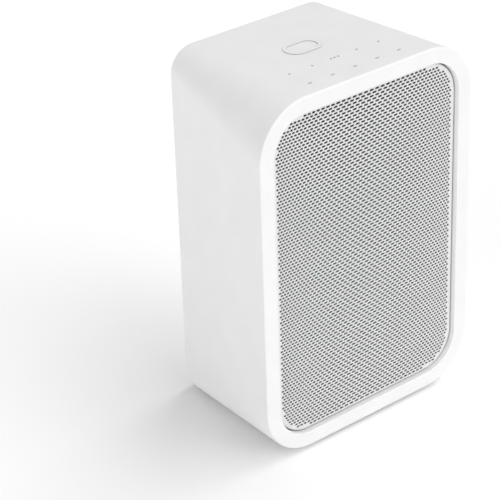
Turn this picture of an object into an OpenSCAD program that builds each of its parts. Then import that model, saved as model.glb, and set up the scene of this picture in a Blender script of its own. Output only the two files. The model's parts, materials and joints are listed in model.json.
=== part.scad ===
// Compact network loudspeaker for a shelf or table.
// A one-piece moulded housing draws in towards the back. A perforated steel
// front sits in a shallow recess. Inside are a woofer, a tweeter, a rear
// passive radiator, the electronics, and a power pack that pulls out of the back.
// The front faces -Y, the right side is +X, and the origin is the centre of
// the footprint on the table.

/* [Housing] */
// Height from the table to the top surface
total_h = 184; // [176:1:240]
// Width across the front rim
body_w = 130; // [126:1:180]
// Depth from the front rim to the back edge
body_d = 84; // [82:1:130]
// Width of the back edge, where the sides have drawn in
back_w = 98; // [97:1:120]
// Corner radius of the front outline
front_r = 27; // [20:1:34]
// Upper corner radius of the back outline
back_top_r = 13; // [10:1:24]
// Lower corner radius of the back outline
back_foot_r = 5; // [4:1:16]
// Roundness of the edge between the sides and the front rim
soft_edge = 1; // [0.6:0.1:3]
// Roundness of the back edge
back_edge = 2; // [0.6:0.1:2.5]
// Thickness of the moulded walls
wall = 3; // [2.4:0.1:3.6]
// Width of the front rim around the grille
rim_w = 8; // [7:0.1:12]
// Corner radius of the grille opening
opening_r = 18.5; // [14:0.5:24]
// Width of the ledge that carries the baffle
ledge_w = 7; // [6.5:0.5:9]
// Thickness of the front and rear ledges
ledge_t = 3; // [2.5:0.1:4]
// Width of the ledge that carries the rear cover
rear_ledge_w = 5; // [4.5:0.1:6]

/* [Grille] */
// Depth of the grille face behind the front rim
grille_setback = 2.4; // [1:0.1:5]
// Depth of the grille's folded edge
grille_fold = 9; // [9:0.5:14]
// Thickness of the grille sheet
grille_t = 0.8; // [0.6:0.1:1.2]
// Gap around the grille
grille_gap = 0.6; // [0.3:0.1:1]
// Diameter of the coarse sound holes
sound_hole_d = 5; // [3:0.5:6]
// Spacing of the coarse sound holes
sound_hole_pitch = 9; // [7:0.5:12]
// Plain margin around the holes
grille_margin = 4; // [2:0.5:8]
// Thickness of the cloth behind the grille
cloth_t = 0.4; // [0.2:0.1:0.8]

/* [Baffle] */
// Thickness of the baffle board
baffle_t = 5; // [4.5:0.5:8]
// Thickness of the foam seal under the baffle
seal_t = 1; // [0.6:0.1:2]
// Space between the opening's lower edge and the woofer
driver_margin = 5; // [4:0.5:10]
// Space between the woofer and the tweeter
driver_gap = 4; // [2:0.5:10]

/* [Woofer] */
// Outer radius of the woofer frame
woofer_r = 48; // [46:0.5:50]
// Outer radius of the woofer cone
cone_r = 32.5; // [30:0.5:33]
// Cone travel to each side of rest
woofer_travel = 3; // [1:0.5:3]
// Radius of the voice coil former
coil_r = 12.9; // [12:0.1:14]
// Radius of the woofer magnet
magnet_r = 32; // [28:0.5:34]
// Thickness of the woofer magnet
magnet_t = 12; // [10:0.5:13]

/* [Tweeter] */
// Outer radius of the tweeter faceplate
tweeter_r = 26; // [24:0.5:27]
// Radius of the tweeter dome
dome_r = 12.5; // [12:0.1:12.6]
// Dome travel to each side of rest
tweeter_travel = 0.3; // [0.1:0.1:0.4]

/* [Passive radiator] */
// Outer radius of the radiator frame
radiator_r = 38; // [36:0.5:38.5]
// Radius of the radiator plate
radiator_plate_r = 24.2; // [20:0.1:24.2]
// Plate travel to each side of rest
radiator_travel = 2.5; // [1:0.5:2.5]
// Radius of the weight on the plate
weight_r = 12; // [8:0.5:16]

/* [Rear cover] */
// Thickness of the rear cover
cover_t = 3; // [2.5:0.1:4]
// Depth of the cover behind the back edge
cover_inset = 1; // [0.5:0.1:3]
// Height of the strip that holds the sockets
socket_strip_h = 18; // [17:1:26]
// Radius of the threaded hole for a wall or stand bolt
mount_hole_r = 3.175; // [2.5:0.005:3.4]
// Length of the threaded insert
insert_len = 10; // [8:0.5:12]

/* [Power pack] */
// Width of the power pack
pack_w = 76; // [70:0.5:76]
// Height of the power pack
pack_h = 54; // [50:0.5:60]
// Depth of the power pack
pack_d = 21.6; // [21:0.1:21.6]
// Height of the pack's underside above the table
pack_z = 12; // [12:0.5:16]
// Gap around the power pack in its bay
pack_gap = 0.4; // [0.3:0.05:0.6]
// Wall thickness of the power pack and its bay
pack_wall = 1.6; // [1.4:0.1:1.6]
// How far the pack slides out
pack_travel = 45; // [30:1:80]

/* [Feet and top] */
// Height that the feet hold the housing above the table
foot_h = 2; // [0.6:0.1:3]
// Radius of a foot
foot_r = 6; // [4:0.5:7]
// Height of the raised marks on the top
mark_h = 0.3; // [0.2:0.05:0.6]
// Spacing of the touch keys
key_pitch = 13.6; // [10:0.1:16]
// Width of the raised emblem
emblem_w = 20; // [10:0.5:24]

/* [Hidden] */
$fn = 96;
eps = 0.01;            // overshoot of a cut past a face
fit_gap = 0.2;         // gap around a plate that drops into a recess
thread_gap = 0.05;     // gap around a screw in its hole
moving_gap = 0.4;      // gap around a part that moves
smooth_fn = 48;        // facets of a lofted corner

// Housing places
body_h = total_h - foot_h;
mid_z = foot_h + body_h/2;
front_y = -body_d/2;
back_y = body_d/2;
min_r = 1;
opening_w = body_w - 2*rim_w;
opening_h = body_h - 2*rim_w;
opening_foot_z = foot_h + rim_w;
opening_top_z = total_h - rim_w;

// Layers behind the grille opening, from front to back
grille_y = front_y + grille_setback;
baffle_y = grille_y + grille_fold;
seal_y = baffle_y + baffle_t;
ledge_y = seal_y + seal_t;
cavity_y = ledge_y + ledge_t;
screw_len = baffle_t + seal_t + ledge_t;

// Rear cover places
cover_out_y = back_y - cover_inset;
cover_in_y = cover_out_y - cover_t;
rear_ledge_y = cover_in_y - ledge_t;
cover_w = back_w - 2*wall;
cover_h = body_h - 2*wall;
rear_open_w = cover_w - 2*rear_ledge_w;
rear_open_h = cover_h - 2*rear_ledge_w;

// Driver places
woofer_z = opening_foot_z + driver_margin + woofer_r;
tweeter_z = woofer_z + woofer_r + driver_gap + tweeter_r;
counterbore_gap = 0.3;
driver_flange_t = 3;
tweeter_flange_t = 2.5;
driver_screw_r = 1.2;
driver_screw_len = 5;
driver_head_r = 2.2;
driver_head_h = 1.2;
woofer_screw_ring = woofer_r - 3;
tweeter_screw_ring = tweeter_r - 3.6;
screw_r = 1.5;
screw_head_r = 2.4;
screw_head_h = 1.6;
skirt_clear = 0.5;
screw_inset = grille_gap + grille_t + skirt_clear + screw_head_r;
screw_x = opening_w/2 - screw_inset;
screw_top_z = opening_top_z - screw_inset;
screw_foot_z = opening_foot_z + screw_inset;
side_screw_step = 45;
end_screw_x = 30;
BAFFLE_SCREWS = [
  for (x = [-screw_x, screw_x], k = [-1, 0, 1]) [x, mid_z + k*side_screw_step],
  for (x = [-end_screw_x, end_screw_x], z = [screw_foot_z, screw_top_z]) [x, z]
];

// Woofer section, measured along its axis from the baffle face
skin = 0.6;                            // thickness of rolls, spider and dust cap
surround_z = -1.8;                     // seat of the surround
roll_r = 3.5;
roll_mid_r = cone_r + roll_r;
surround_out_r = woofer_r - 6;
frame_hole_r = surround_out_r - 3.2;
basket_depth = 26;
basket_foot_r = 27;
spider_z = -16;
spider_out_r = 30;
cone_neck_z = -13.8;
cone_t = 1;
magnet_gap = 0.35;                     // running gap on each side of the coil
former_t = 0.3;
winding_t = 0.6;
coil_len = 18;
winding_len = 8;
plate_t = 4;
pole_r = coil_r - former_t - magnet_gap;
gap_r = coil_r + winding_t + magnet_gap;
basket_wall = 2;
window_w = 16;
window_h = 9;
window_foot_z = -15;

// Tweeter section
dome_rise = 5;
tweeter_coil_len = 6;
tweeter_wall = 3;
tweeter_pot_depth = 18;
pot_r = dome_r + 4.5;
tweeter_gap_r = dome_r + 1;
tweeter_pole_r = dome_r - 0.4;
tweeter_land_t = 0.4;
throat_r = dome_r + 2.5;

// Passive radiator section, measured from the cover's inner face
radiator_frame_t = 3;
radiator_seat = 1;
radiator_roll_r = 3.25;
radiator_roll_mid_r = radiator_plate_r + 0.3 + radiator_roll_r;
radiator_hole_r = radiator_roll_mid_r + radiator_roll_r + 0.3;
radiator_land_r = radiator_hole_r + 2.9;
radiator_plate_t = 1.5;
weight_t = 6;
radiator_open_r = radiator_hole_r;
guard_r = radiator_hole_r + 2.7;
guard_t = 1.2;
guard_slot_w = 2.4;
guard_slot_pitch = 5;

// Power pack and socket strip places
pack_top_z = pack_z + pack_h;
pack_in_y = cover_out_y - pack_d;
bay_w = pack_w + 2*pack_gap;
bay_h = pack_h + 2*pack_gap;
bay_in_y = pack_in_y - pack_gap;
bay_front_y = bay_in_y - pack_wall;
pack_mid_z = pack_z + pack_h/2;
strip_z = pack_top_z + pack_gap + pack_wall + socket_strip_h/2;
radiator_z = strip_z + socket_strip_h/2 + 1 + radiator_r;
insert_r = 5;
boss_r = 8;
pack_screw_r = 2;
pack_screw_head_r = 6;
pack_screw_z = pack_z + pack_screw_head_r + moving_gap + pack_wall + 1;
pack_screw_head_h = 4;
pack_boss_r = 4;
nut_len = 6;
nut_r = 3.4;
contact_x = 31;
contact_z = pack_z + 16;
contact_count = 3;
contact_pitch = 4;
contact_w = 0.8;
contact_h = 5;
contact_reach = 4;
socket_w = 14;
socket_h = 12;
socket_d = 8;
board_t = 1.6;
pack_board_y = pack_in_y + 3.6;
inlet_x = -22;
inlet_z = pack_z + 12;
inlet_w = 17.6;
inlet_h = 10.8;
inlet_d = 14;
inlet_face_w = 14.4;
inlet_face_h = 7.7;
inlet_hole_d = 11;
pin_r = 1.18;
pin_pitch = 8.6;
grip_w = 32;
grip_h = 10;
grip_d = 9;

// Sockets on the strip
socket_board_y = 22;
network_x = -28;
network_w = 16;
network_h = 13.4;
network_open_w = 11.8;
network_open_h = 8.2;
network_open_d = 12;
usb_x = 19;
usb_w = 12;
usb_h = 6;
usb_open_w = 9;
usb_open_h = 3.3;
audio_x = 35;
audio_r = 4;
audio_hole_r = 1.75;

// Electronics places
rail_in_x = radiator_r + 0.3;
rail_t = rear_open_w/2 - fit_gap - rail_in_x;
groove_d = 1;
rail_foot_z = tweeter_z - 42;
rail_h = 62;
rail_front_y = -2;
bridge_h = 8;
board_w = 2*(rail_in_x + groove_d);
board_h = 58;
board_z = rail_foot_z + rail_h/2;
main_board_y = 12;
amp_board_y = 3;
heatsink_w = 50;
heatsink_h = 34;
heatsink_base = 2;
heatsink_d = 7;
fin_count = 11;
touch_board_w = 68;
touch_board_d = 38;
touch_board_y = front_y + 5;
touch_slot_h = 1.8;
touch_board_t = 1.2;
lead_r = 1;

// Marks on the top
key_row_y = front_y + 9.6;
dot_row_y = front_y + 23.4;
emblem_x = -2.5;
emblem_y = 1;
emblem_d = 13;
emblem_band = 1.8;

foot_sink = 1;
foot_x = 26;
FOOT_Y = [front_y + 14, back_y - 12];
damping_h = 8;
damping_w = 70;

// ---------- Shared shapes ----------

// Rounded rectangle with the same radius at every corner
module rounded_2d(w, h, r) {
  square([w - 2*r, h], center = true);
  square([w, h - 2*r], center = true);
  for (x = [-1, 1], z = [-1, 1])
    translate([x*(w/2 - r), z*(h/2 - r)]) circle(r = r);
}

// Rounded rectangle whose upper and lower corners differ
module outline_2d(w, h, r_top, r_foot) {
  translate([-w/2, r_foot - h/2]) square([w, h - r_top - r_foot]);
  translate([r_top - w/2, 0]) square([w - 2*r_top, h/2]);
  translate([r_foot - w/2, -h/2]) square([w - 2*r_foot, h/2]);
  for (x = [-1, 1]) {
    translate([x*(w/2 - r_top), h/2 - r_top]) circle(r = r_top);
    translate([x*(w/2 - r_foot), r_foot - h/2]) circle(r = r_foot);
  }
}

// Stands a flat outline upright, with its front at y and its middle at z
module upright(y, depth, z) {
  translate([0, y + depth, z]) rotate([90, 0, 0]) linear_extrude(height = depth) children();
}

// Turns a shape of revolution so that its +Z points to the front
module facing_front(y, z) {
  translate([0, y, z]) rotate([90, 0, 0]) children();
}

// Turns a shape of revolution so that its +Z points to the back
module facing_back(y, z) {
  translate([0, y, z]) rotate([-90, 0, 0]) children();
}

// Box given by its middle in X and Z, its front face and its size
module block(x, y, z, w, d, h) {
  translate([x - w/2, y, z - h/2]) cube([w, d, h]);
}

// Flat ring
module ring(r_out, r_in, z, t) {
  translate([0, 0, z]) difference() {
    cylinder(r = r_out, h = t);
    translate([0, 0, -eps]) cylinder(r = r_in, h = t + 2*eps);
  }
}

// Half-round roll of thin skin; side 1 rolls up, side -1 rolls down
module roll(mid_r, out_r, z, side) {
  translate([0, 0, z]) rotate_extrude() intersection() {
    difference() {
      translate([mid_r, 0]) circle(r = out_r);
      translate([mid_r, 0]) circle(r = out_r - skin);
    }
    translate([mid_r - out_r, side > 0 ? 0 : -out_r]) square([2*out_r, out_r]);
  }
}

// Pan-head screw: head above z = 0, shank below
module pan_screw(shank_r, len, head_r, head_h) {
  translate([0, 0, -len]) cylinder(r = shank_r, h = len);
  cylinder(r = head_r, h = head_h);
}

// Places its children at n equal steps round the Z axis
module around(n, r, start = 0) {
  for (k = [0 : n - 1]) rotate([0, 0, start + 360*k/n]) translate([r, 0, 0]) children();
}

// ---------- Housing ----------

// 0 at the front rim's full outline, 1 at the back edge's full outline
function along(y) = min(max((y - front_y - soft_edge)/(body_d - soft_edge - back_edge), 0), 1);
function mix(a, b, t) = a + (b - a)*t;

// Thin slice of the housing's outline at depth y, drawn in by inset
module slice(y, inset) {
  upright(y, eps, mid_z) outline_2d(
    mix(body_w, back_w, along(y)) - 2*inset,
    body_h - 2*inset,
    max(mix(front_r, back_top_r, along(y)) - inset, min_r),
    max(mix(front_r, back_foot_r, along(y)) - inset, min_r),
    $fn = smooth_fn);
}

module outer_shell() {
  hull() for (a = [0 : 30 : 90]) {
    slice(front_y + soft_edge*(1 - sin(a)), soft_edge*(1 - cos(a)));
    slice(back_y - eps - back_edge*(1 - sin(a)), back_edge*(1 - cos(a)));
  }
}

module inner_space() {
  hull() {
    slice(cavity_y, wall);
    slice(rear_ledge_y - eps, wall);
  }
}

module foot_places() {
  for (x = [-foot_x, foot_x], y = FOOT_Y) translate([x, y, 0]) children();
}

module cover_screw_places() {
  for (x = [-1, 1], k = [-1, 0, 1])
    translate([x*(cover_w/2 - rear_ledge_w/2), cover_out_y, mid_z + k*(cover_h/2 - 18)])
      rotate([-90, 0, 0]) children();
}

module baffle_screw_places() {
  for (p = BAFFLE_SCREWS) translate([p[0], baffle_y, p[1]]) rotate([90, 0, 0]) children();
}

module housing() {
  color("whitesmoke") difference() {
    outer_shell();
    inner_space();
    upright(front_y - 1, ledge_y - front_y + 1, mid_z)
      rounded_2d(opening_w, opening_h, opening_r);
    upright(front_y, cavity_y - front_y + 1, mid_z)
      rounded_2d(opening_w - 2*ledge_w, opening_h - 2*ledge_w, opening_r - ledge_w);
    upright(cover_in_y, body_d, mid_z)
      outline_2d(cover_w, cover_h, back_top_r - wall, back_foot_r - wall);
    upright(rear_ledge_y - 1, body_d, mid_z) rounded_2d(rear_open_w, rear_open_h, min_r);
    baffle_screw_places() translate([0, 0, -screw_len - 1])
      cylinder(r = screw_r + thread_gap, h = screw_len + 1);
    cover_screw_places() translate([0, 0, -screw_len])
      cylinder(r = screw_r + thread_gap, h = screw_len);
    foot_places() translate([0, 0, foot_h - 1]) cylinder(r = foot_r, h = foot_sink + 1);
    block(0, touch_board_y - 1, total_h - wall - touch_slot_h/2,
          touch_board_w + 2, cavity_y - touch_board_y + 2, touch_slot_h);
  }
}

// Plain raised band, a rounded bar with an open middle
module emblem() {
  color("whitesmoke") translate([emblem_x, emblem_y, total_h]) linear_extrude(height = mark_h)
    difference() {
      rounded_2d(emblem_w, emblem_d, emblem_d/2 - eps);
      rounded_2d(emblem_w - 2*emblem_band, emblem_d - 2*emblem_band,
                 emblem_d/2 - emblem_band - eps);
    }
}

// Short raised bars of the front row of touch keys, raised dots of the second row
module touch_marks() {
  color("whitesmoke") translate([0, 0, total_h]) linear_extrude(height = mark_h) {
    for (k = [-2 : 2]) translate([k*key_pitch, key_row_y]) rounded_2d(2.2, 0.9, 0.44);
    for (k = [-2 : 2], n = [-1, 0, 1]) if (k == 0 || n == 0)
      translate([k*key_pitch + n*2.2, dot_row_y]) circle(r = 0.55, $fn = 24);
  }
}

module touch_board() {
  color("darkgreen") block(0, touch_board_y, total_h - wall - touch_board_t/2,
                           touch_board_w, touch_board_d, touch_board_t);
}

module feet() {
  color("dimgray") foot_places() cylinder(r = foot_r, h = foot_h + foot_sink);
}

module damping_pad() {
  color("lightgray") block(0, cavity_y + 1, foot_h + wall + damping_h/2,
                           damping_w, bay_front_y - cavity_y - 4, damping_h);
}

// ---------- Grille and baffle ----------

grille_w = opening_w - 2*grille_gap;
grille_h = opening_h - 2*grille_gap;
grille_r = opening_r - grille_gap;
field_w = grille_w - 2*grille_margin - sound_hole_d;
field_h = grille_h - 2*grille_margin - sound_hole_d;
field_r = grille_r - grille_margin - sound_hole_d/2;
row_step = sound_hole_pitch*sqrt(3)/2;
row_count = floor(field_h/2/row_step);
column_count = floor(field_w/2/sound_hole_pitch) + 1;

// True where a hole's middle lies inside the rounded field
function in_field(x, z) = let (
    over_x = max(abs(x) - (field_w/2 - field_r), 0),
    over_z = max(abs(z) - (field_h/2 - field_r), 0))
  norm([over_x, over_z]) <= field_r;

module sound_holes_2d() {
  for (j = [-row_count : row_count], i = [-column_count : column_count]) {
    x = (i + (j % 2 == 0 ? 0 : 0.5))*sound_hole_pitch;
    z = j*row_step;
    if (in_field(x, z)) translate([x, z]) circle(d = sound_hole_d, $fn = 24);
  }
}

module grille() {
  color("lightgray") {
    upright(grille_y, grille_t, mid_z) difference() {
      rounded_2d(grille_w, grille_h, grille_r);
      sound_holes_2d();
    }
    upright(grille_y + grille_t, grille_fold - grille_t, mid_z) difference() {
      rounded_2d(grille_w, grille_h, grille_r);
      rounded_2d(grille_w - 2*grille_t, grille_h - 2*grille_t, grille_r - grille_t);
    }
  }
}

module grille_cloth() {
  inset = 2*(grille_t + fit_gap);
  color("black") upright(grille_y + grille_t, cloth_t, mid_z)
    rounded_2d(grille_w - inset, grille_h - inset, grille_r - inset/2);
}

module baffle() {
  color("dimgray") difference() {
    upright(baffle_y, baffle_t, mid_z)
      rounded_2d(opening_w - 2*fit_gap, opening_h - 2*fit_gap, opening_r - fit_gap);
    facing_front(baffle_y, woofer_z) {
      translate([0, 0, -driver_flange_t]) cylinder(r = woofer_r + counterbore_gap, h = 20);
      translate([0, 0, -20]) cylinder(r = frame_hole_r + 2.8, h = 20);
      around(4, woofer_screw_ring, 45) translate([0, 0, -driver_screw_len - 1])
        cylinder(r = driver_screw_r + thread_gap, h = driver_screw_len + 1);
    }
    facing_front(baffle_y, tweeter_z) {
      translate([0, 0, -tweeter_flange_t]) cylinder(r = tweeter_r + counterbore_gap, h = 20);
      translate([0, 0, -20]) cylinder(r = pot_r + 0.6, h = 20);
      around(4, tweeter_screw_ring, 45) translate([0, 0, -driver_screw_len - 1])
        cylinder(r = driver_screw_r + thread_gap, h = driver_screw_len + 1);
    }
    baffle_screw_places() translate([0, 0, -screw_len])
      cylinder(r = screw_r + thread_gap, h = screw_len + 1);
  }
}

module baffle_seal() {
  color("black") difference() {
    upright(seal_y, seal_t, mid_z) difference() {
      rounded_2d(opening_w - 2*fit_gap, opening_h - 2*fit_gap, opening_r - fit_gap);
      rounded_2d(opening_w - 2*ledge_w, opening_h - 2*ledge_w, opening_r - ledge_w);
    }
    baffle_screw_places() translate([0, 0, -screw_len])
      cylinder(r = screw_r + thread_gap, h = screw_len + 1);
  }
}

module baffle_screws() {
  color("silver") baffle_screw_places() pan_screw(screw_r, screw_len, screw_head_r, screw_head_h);
}

// ---------- Woofer ----------

module woofer_frame() {
  color("black") facing_front(baffle_y, woofer_z) difference() {
    rotate_extrude() polygon([
      [frame_hole_r, -driver_flange_t], [frame_hole_r, surround_z],
      [surround_out_r + 0.2, surround_z], [surround_out_r + 0.2, 0],
      [woofer_r, 0], [woofer_r, -driver_flange_t],
      [frame_hole_r + basket_wall, -driver_flange_t],
      [basket_foot_r, 2 - basket_depth], [basket_foot_r, -basket_depth],
      [gap_r + 2, -basket_depth], [gap_r + 2, 2 - basket_depth],
      [basket_foot_r - basket_wall, 2 - basket_depth],
      [spider_out_r - 2.6, spider_z - 1.4], [spider_out_r - 2.6, spider_z],
      [spider_out_r + 0.3, spider_z]
    ]);
    for (k = [0 : 5]) rotate([0, 0, 60*k])
      translate([0, -window_w/2, window_foot_z]) cube([2*woofer_r, window_w, window_h]);
    around(4, woofer_screw_ring, 45) translate([0, 0, -10])
      cylinder(r = driver_screw_r + thread_gap, h = 20);
  }
}

module woofer_gasket() {
  color("black") facing_front(baffle_y, woofer_z)
    ring(surround_out_r, roll_mid_r + roll_r, surround_z + skin, -surround_z - skin);
}

module woofer_surround() {
  color("black") facing_front(baffle_y, woofer_z) {
    ring(surround_out_r, roll_mid_r + roll_r - skin, surround_z, skin);
    ring(roll_mid_r - roll_r + skin, cone_r - 1.5, surround_z, skin);
    roll(roll_mid_r, roll_r, surround_z + skin, 1);
  }
}

module woofer_cone() {
  color("dimgray") facing_front(baffle_y, woofer_z) rotate_extrude() polygon([
    [coil_r, cone_neck_z], [coil_r, cone_neck_z + cone_t], [cone_r - 1.5, surround_z],
    [cone_r, surround_z], [cone_r, surround_z - cone_t], [cone_r - 1, surround_z - cone_t]
  ]);
}

cap_r = coil_r + 0.7;
cap_rise = 5;
cap_sphere_r = (cap_r*cap_r + cap_rise*cap_rise)/(2*cap_rise);

module woofer_dust_cap() {
  cap_z = cone_neck_z + cone_t + 0.42;
  color("dimgray") facing_front(baffle_y, woofer_z) translate([0, 0, cap_z])
    rotate_extrude() intersection() {
      translate([0, cap_rise - cap_sphere_r]) difference() {
        circle(r = cap_sphere_r);
        circle(r = cap_sphere_r - skin);
      }
      square([cap_r, cap_rise]);
    }
}

module woofer_coil() {
  coil_top_z = cone_neck_z + cone_t;
  color("darkgoldenrod") facing_front(baffle_y, woofer_z) {
    ring(coil_r, coil_r - former_t, coil_top_z - coil_len, coil_len);
    ring(coil_r + winding_t, coil_r, coil_top_z - coil_len, winding_len);
  }
}

// Corrugated disc that centres the coil
module woofer_spider() {
  color("peru") facing_front(baffle_y, woofer_z) difference() {
    translate([0, 0, spider_z]) cylinder(r = spider_out_r, h = skin);
    translate([0, 0, spider_z - 1]) cylinder(r = coil_r + 0.3, h = 3);
    for (r = [17 : 4 : 25]) ring(r + 1, r, spider_z + skin/2, skin);
  }
}

module woofer_top_plate() {
  color("gray") facing_front(baffle_y, woofer_z)
    ring(magnet_r - 1, gap_r, -basket_depth - plate_t, plate_t);
}

module woofer_magnet() {
  color("dimgray") facing_front(baffle_y, woofer_z)
    ring(magnet_r, gap_r + 4, -basket_depth - plate_t - magnet_t, magnet_t);
}

module woofer_yoke() {
  yoke_z = -basket_depth - 2*plate_t - magnet_t;
  color("gray") facing_front(baffle_y, woofer_z) {
    translate([0, 0, yoke_z]) cylinder(r = magnet_r - 2, h = plate_t);
    translate([0, 0, yoke_z]) cylinder(r = pole_r, h = 2*plate_t + magnet_t);
  }
}

// ---------- Tweeter ----------

module tweeter_faceplate() {
  color("black") facing_front(baffle_y, tweeter_z) difference() {
    rotate_extrude() polygon([
      [throat_r, -tweeter_flange_t], [throat_r, -1.8], [throat_r + 4, 0],
      [tweeter_r, 0], [tweeter_r, -tweeter_flange_t]
    ]);
    around(4, tweeter_screw_ring, 45) translate([0, 0, -10])
      cylinder(r = driver_screw_r + thread_gap, h = 20);
  }
}

tweeter_land_z = -tweeter_flange_t - tweeter_land_t;

module tweeter_surround() {
  color("black") facing_front(baffle_y, tweeter_z) {
    ring(pot_r, throat_r - 0.7, tweeter_land_z, tweeter_land_t);
    translate([0, 0, -tweeter_flange_t]) rotate_extrude() intersection() {
      translate([dome_r + 1.45, 0]) difference() {
        circle(r = 0.65);
        circle(r = 0.35);
      }
      translate([dome_r, 0]) square([3, 1]);
    }
  }
}

dome_sphere_r = (dome_r*dome_r + dome_rise*dome_rise)/(2*dome_rise);

module tweeter_dome() {
  color("silver") facing_front(baffle_y, tweeter_z) {
    translate([0, 0, tweeter_land_z + tweeter_land_t]) rotate_extrude() intersection() {
      translate([0, dome_rise - dome_sphere_r]) difference() {
        circle(r = dome_sphere_r);
        circle(r = dome_sphere_r - 0.5);
      }
      square([dome_r, dome_rise]);
    }
    ring(dome_r + 0.5, dome_r - 0.8, tweeter_land_z, tweeter_land_t);
  }
}

module tweeter_coil() {
  color("darkgoldenrod") facing_front(baffle_y, tweeter_z)
    ring(dome_r + 0.5, dome_r, tweeter_land_z - tweeter_coil_len, tweeter_coil_len);
}

tweeter_floor_z = tweeter_land_z - tweeter_pot_depth + tweeter_wall;

module tweeter_pot() {
  color("gray") facing_front(baffle_y, tweeter_z) rotate_extrude() polygon([
    [0, tweeter_floor_z - tweeter_wall], [pot_r, tweeter_floor_z - tweeter_wall],
    [pot_r, tweeter_land_z], [tweeter_gap_r, tweeter_land_z],
    [tweeter_gap_r, tweeter_land_z - 4], [pot_r - 2, tweeter_land_z - 4],
    [pot_r - 2, tweeter_floor_z], [0, tweeter_floor_z]
  ]);
}

pole_plate_t = 3.5;
tweeter_magnet_t = 8;

module tweeter_magnet() {
  color("silver") facing_front(baffle_y, tweeter_z)
    translate([0, 0, tweeter_floor_z]) cylinder(r = dome_r - 1, h = tweeter_magnet_t);
}

module tweeter_pole_plate() {
  color("gray") facing_front(baffle_y, tweeter_z)
    translate([0, 0, tweeter_floor_z + tweeter_magnet_t])
      cylinder(r = tweeter_pole_r, h = pole_plate_t);
}

module driver_screws() {
  color("silver") {
    facing_front(baffle_y, woofer_z) around(4, woofer_screw_ring, 45)
      pan_screw(driver_screw_r, driver_screw_len, driver_head_r, driver_head_h);
    facing_front(baffle_y, tweeter_z) around(4, tweeter_screw_ring, 45)
      pan_screw(driver_screw_r, driver_screw_len, driver_head_r, driver_head_h);
  }
}

// ---------- Rear cover, passive radiator and sockets ----------

module bay_space() {
  block(0, bay_in_y, pack_mid_z, bay_w, body_d, bay_h);
}

module rear_cover() {
  color("whitesmoke") difference() {
    union() {
      upright(cover_in_y, cover_t, mid_z) outline_2d(
        cover_w - 2*fit_gap, cover_h - 2*fit_gap,
        back_top_r - wall - fit_gap, back_foot_r - wall - fit_gap);
      block(0, bay_front_y, pack_mid_z, bay_w + 2*pack_wall, cover_in_y - bay_front_y,
            bay_h + 2*pack_wall);
      facing_back(cover_out_y - insert_len, strip_z) cylinder(r = boss_r, h = insert_len);
      facing_front(bay_front_y, pack_screw_z) cylinder(r = pack_boss_r + 1, h = nut_len);
    }
    bay_space();
    facing_back(cover_in_y - 1, radiator_z) cylinder(r = radiator_open_r, h = 10);
    facing_back(cover_out_y - guard_t, radiator_z) cylinder(r = guard_r, h = 10);
    facing_back(cover_out_y - insert_len - 1, strip_z) cylinder(r = insert_r, h = insert_len + 5);
    block(network_x, cover_in_y - 1, strip_z, network_w + fit_gap, 10, network_h + fit_gap);
    block(usb_x, cover_in_y - 1, strip_z, usb_w + fit_gap, 10, usb_h + fit_gap);
    translate([audio_x, 0, 0]) facing_back(cover_in_y - 1, strip_z)
      cylinder(r = audio_r + fit_gap/2, h = 10);
    facing_front(bay_in_y + 1, pack_screw_z) cylinder(r = nut_r, h = nut_len + pack_wall + 2);
    block(contact_x, bay_front_y - 1, contact_z, socket_w - 2, 10, socket_h - 2);
    cover_screw_places() translate([0, 0, -screw_len])
      cylinder(r = screw_r + thread_gap, h = screw_len + 1);
  }
}

module cover_seal() {
  color("black") upright(rear_ledge_y - seal_t, seal_t, mid_z) difference() {
    rounded_2d(rear_open_w + 2*3, rear_open_h + 2*3, min_r + 3);
    rounded_2d(rear_open_w, rear_open_h, min_r);
  }
}

module cover_screws() {
  color("silver") cover_screw_places()
    pan_screw(screw_r, cover_t + ledge_t, screw_head_r - 0.2, cover_inset - 0.1);
}

module radiator_frame() {
  color("black") facing_back(cover_in_y, radiator_z) rotate_extrude() polygon([
    [radiator_hole_r, -radiator_frame_t], [radiator_r, -radiator_frame_t], [radiator_r, 0],
    [radiator_land_r, 0], [radiator_land_r, -radiator_seat], [radiator_hole_r, -radiator_seat]
  ]);
}

module radiator_surround() {
  color("black") facing_back(cover_in_y, radiator_z) {
    ring(radiator_land_r - 0.2, radiator_roll_mid_r + radiator_roll_r - skin, -radiator_seat, skin);
    ring(radiator_roll_mid_r - radiator_roll_r + skin, radiator_plate_r - 2.2,
         -radiator_seat, skin);
    roll(radiator_roll_mid_r, radiator_roll_r, -radiator_seat, -1);
  }
}

module radiator_plate() {
  color("dimgray") facing_back(cover_in_y, radiator_z)
    translate([0, 0, -radiator_seat - radiator_plate_t])
      cylinder(r = radiator_plate_r, h = radiator_plate_t);
}

module radiator_weight() {
  color("silver") facing_back(cover_in_y, radiator_z)
    translate([0, 0, -radiator_seat - radiator_plate_t - weight_t])
      cylinder(r = weight_r, h = weight_t);
}

guard_slots = floor((guard_r - 5)/guard_slot_pitch);

module radiator_guard() {
  color("whitesmoke") facing_back(cover_out_y - guard_t, radiator_z)
    linear_extrude(height = guard_t) difference() {
      circle(r = guard_r - 0.1);
      for (k = [-guard_slots : guard_slots]) {
        half_len = sqrt(pow(guard_r - 4, 2) - pow(k*guard_slot_pitch, 2));
        translate([0, k*guard_slot_pitch])
          rounded_2d(2*half_len, guard_slot_w, guard_slot_w/2 - eps);
      }
    }
}

module mount_insert() {
  color("goldenrod") facing_back(cover_out_y - insert_len, strip_z)
    ring(insert_r, mount_hole_r, 0, insert_len);
}

module socket_board() {
  color("darkgreen") block(0, socket_board_y, strip_z, 84 - 2, board_t, socket_strip_h - 2);
}

socket_back_y = socket_board_y + board_t;
socket_depth = cover_out_y - socket_back_y;

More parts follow.
